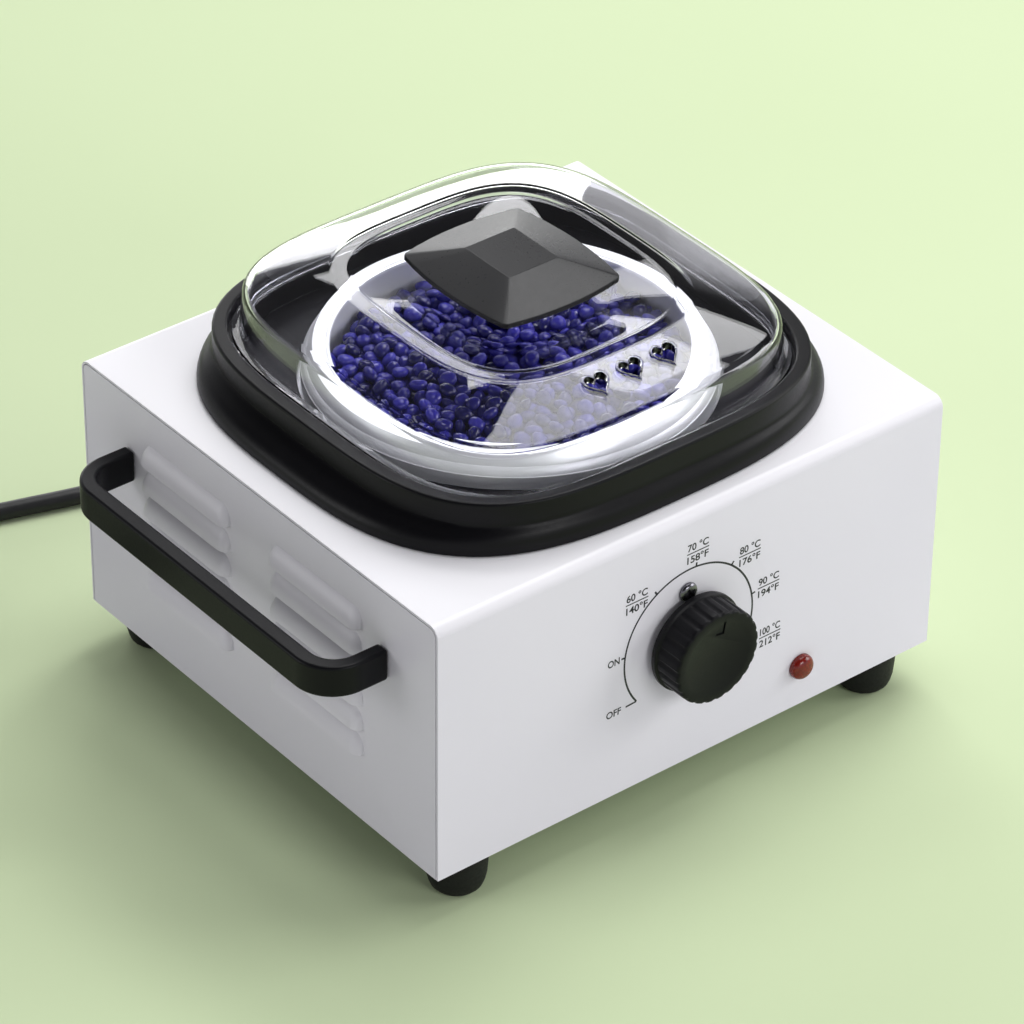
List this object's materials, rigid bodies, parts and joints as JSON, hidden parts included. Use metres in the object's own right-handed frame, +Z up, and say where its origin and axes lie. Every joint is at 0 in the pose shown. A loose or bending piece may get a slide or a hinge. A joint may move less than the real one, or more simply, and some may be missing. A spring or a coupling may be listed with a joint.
{
  "type": "wax warmer",
  "caption": "Counter-top wax warmer: folded steel casing with louvres, heated chamber, lift-out pot of wax beads, clear lid, dial thermostat, pilot lamp, side handle and supply cord.",
  "frame": {"origin": "middle of the footprint of casing, handle and dial, at the level of the feet's undersides", "axes": "+X to the right of someone facing the dial, -Y out of the dial side, +Z up"},
  "size_m": [0.4044, 0.3591, 0.1879],
  "materials": {
    "white_enamel": "satin powder coat on steel sheet",
    "bare_steel": "galvanised sheet",
    "black_collar": "satin moulding with a soft sheen",
    "spun_aluminium": "spun, satin",
    "polished_aluminium": "polished",
    "heater_mica": "mica strip in steel",
    "felt": "glass-fibre felt",
    "dark_moulding": "plain",
    "thermostat_case": "pressed",
    "copper_tube": "drawn copper",
    "plated_steel": "bright plated",
    "black_knob": "satin",
    "red_lens": "glossy, translucent",
    "lamp_body": "plain",
    "block_ceramic": "plain",
    "black_handle": "satin",
    "rubber_foot": "matt",
    "clear_lid": "clear, glossy moulding",
    "grey_knob": "dark grey, semi-gloss",
    "blue_wax": "glossy, slightly translucent beads",
    "cord_jacket": "satin",
    "plug_metal": "nickel plated",
    "brown_wire": "plain",
    "blue_wire": "plain",
    "green_wire": "plain",
    "white_wire": "plain",
    "red_wire": "plain"
  },
  "bodies": {
    "casing": {"casing_wrap": "white_enamel", "side_panel_left": "white_enamel", "side_panel_right": "white_enamel", "base_plate": "bare_steel", "collar": "black_collar", "heating_chamber": "spun_aluminium", "heating_band": "heater_mica", "insulation_jacket": "felt", "thermal_cutout": "dark_moulding", "thermostat_body": "thermostat_case", "thermostat_bulb": "copper_tube", "capillary_tube": "copper_tube", "thermostat_screw_upper": "plated_steel", "thermostat_screw_lower": "plated_steel", "pilot_lamp_clip": "plated_steel", "foot_screw_front_left": "plated_steel", "foot_screw_front_right": "plated_steel", "foot_screw_rear_left": "plated_steel", "foot_screw_rear_right": "plated_steel", "handle_screw_front": "plated_steel", "handle_screw_rear": "plated_steel", "chamber_screw_1": "plated_steel", "chamber_screw_2": "plated_steel", "chamber_screw_3": "plated_steel", "chamber_screw_4": "plated_steel", "pilot_lamp_lens": "red_lens", "pilot_lamp_body": "lamp_body", "terminal_block": "block_ceramic", "side_handle": "black_handle", "foot_front_left": "rubber_foot", "foot_front_right": "rubber_foot", "foot_rear_left": "rubber_foot", "foot_rear_right": "rubber_foot", "power_cord": "cord_jacket", "cord_coil": "cord_jacket", "cord_tail": "cord_jacket", "cord_gland": "cord_jacket", "gland_nut": "cord_jacket", "plug_body": "cord_jacket", "plug_pin_left": "plug_metal", "plug_pin_right": "plug_metal", "plug_earth_clip_lower": "plug_metal", "plug_earth_clip_upper": "plug_metal", "live_wire": "brown_wire", "neutral_wire": "blue_wire", "earth_wire": "green_wire", "heater_feed_wire": "white_wire", "heater_return_wire": "white_wire", "lamp_wire": "red_wire"},
    "dial": {"dial_knob": "black_knob", "thermostat_shaft": "plated_steel"},
    "pot": {"inner_pot": "polished_aluminium", "wax_beads": "blue_wax"},
    "lid": {"lid_shell": "clear_lid", "lid_knob": "grey_knob", "lid_knob_screw": "plated_steel"}
  },
  "joints": [
    {"name": "dial_turn", "type": "hinge", "parent": "casing", "child": "dial", "pos_m": [0.00995, -0.10185, 0.0769], "axis": [0, -1, 0], "range_deg": [-109, 137]},
    {"name": "pot_lift", "type": "slide", "parent": "casing", "child": "pot", "axis": [0, 0, 1], "range_m": [0, 0.12]},
    {"name": "lid_lift", "type": "slide", "parent": "pot", "child": "lid", "axis": [0, 0, 1], "range_m": [0, 0.06]}
  ]
}
